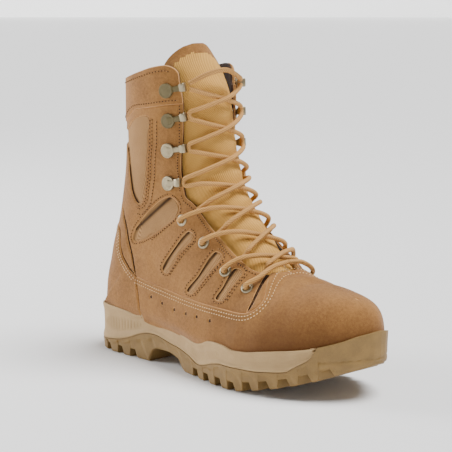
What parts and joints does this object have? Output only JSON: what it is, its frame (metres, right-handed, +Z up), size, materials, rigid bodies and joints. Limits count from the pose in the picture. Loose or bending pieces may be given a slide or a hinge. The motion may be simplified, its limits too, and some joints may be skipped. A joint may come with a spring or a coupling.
{
  "type": "boot",
  "caption": "High laced work boot with suede panels over a cloth upper, padded tongue, eyelets, lace hooks and a lugged rubber sole.",
  "frame": {"origin": "centre of the bounding box at the ground", "axes": "+X to the toe, +Y to the inner side of the right foot, +Z up"},
  "size_m": [0.308, 0.1082, 0.2752],
  "materials": {
    "outsole_rubber": "matt khaki rubber",
    "midsole_foam": "matt taupe foam",
    "lining": "dark brown lining cloth",
    "upper_cloth": "light tan woven cloth",
    "suede": "coyote brown suede",
    "lacing_metal": "pale nickel",
    "hook_paint": "olive paint",
    "lace": "tan braided cord"
  },
  "bodies": {
    "root": {"outsole": "outsole_rubber", "midsole": "midsole_foam", "insole": "lining", "upper": "upper_cloth", "tongue": "upper_cloth", "vamp_and_side_band": "suede", "heel_counter": "suede", "quarter_lateral": "suede", "quarter_medial": "suede", "collar_cuff": "suede", "eyelet_lateral_1": "lacing_metal", "eyelet_lateral_2": "lacing_metal", "eyelet_lateral_3": "lacing_metal", "eyelet_lateral_4": "lacing_metal", "eyelet_medial_1": "lacing_metal", "eyelet_medial_2": "lacing_metal", "eyelet_medial_3": "lacing_metal", "eyelet_medial_4": "lacing_metal", "hook_lateral_1": "lacing_metal", "hook_lateral_2": "lacing_metal", "hook_lateral_3": "hook_paint", "hook_lateral_4": "hook_paint", "hook_medial_1": "lacing_metal", "hook_medial_2": "lacing_metal", "hook_medial_3": "hook_paint", "hook_medial_4": "hook_paint", "lace_bar": "lace", "lace_cross_1": "lace", "lace_cross_2": "lace", "lace_cross_3": "lace", "lace_cross_4": "lace", "lace_cross_5": "lace", "lace_cross_6": "lace", "lace_cross_7": "lace", "lace_knot": "lace"}
  },
  "joints": []
}
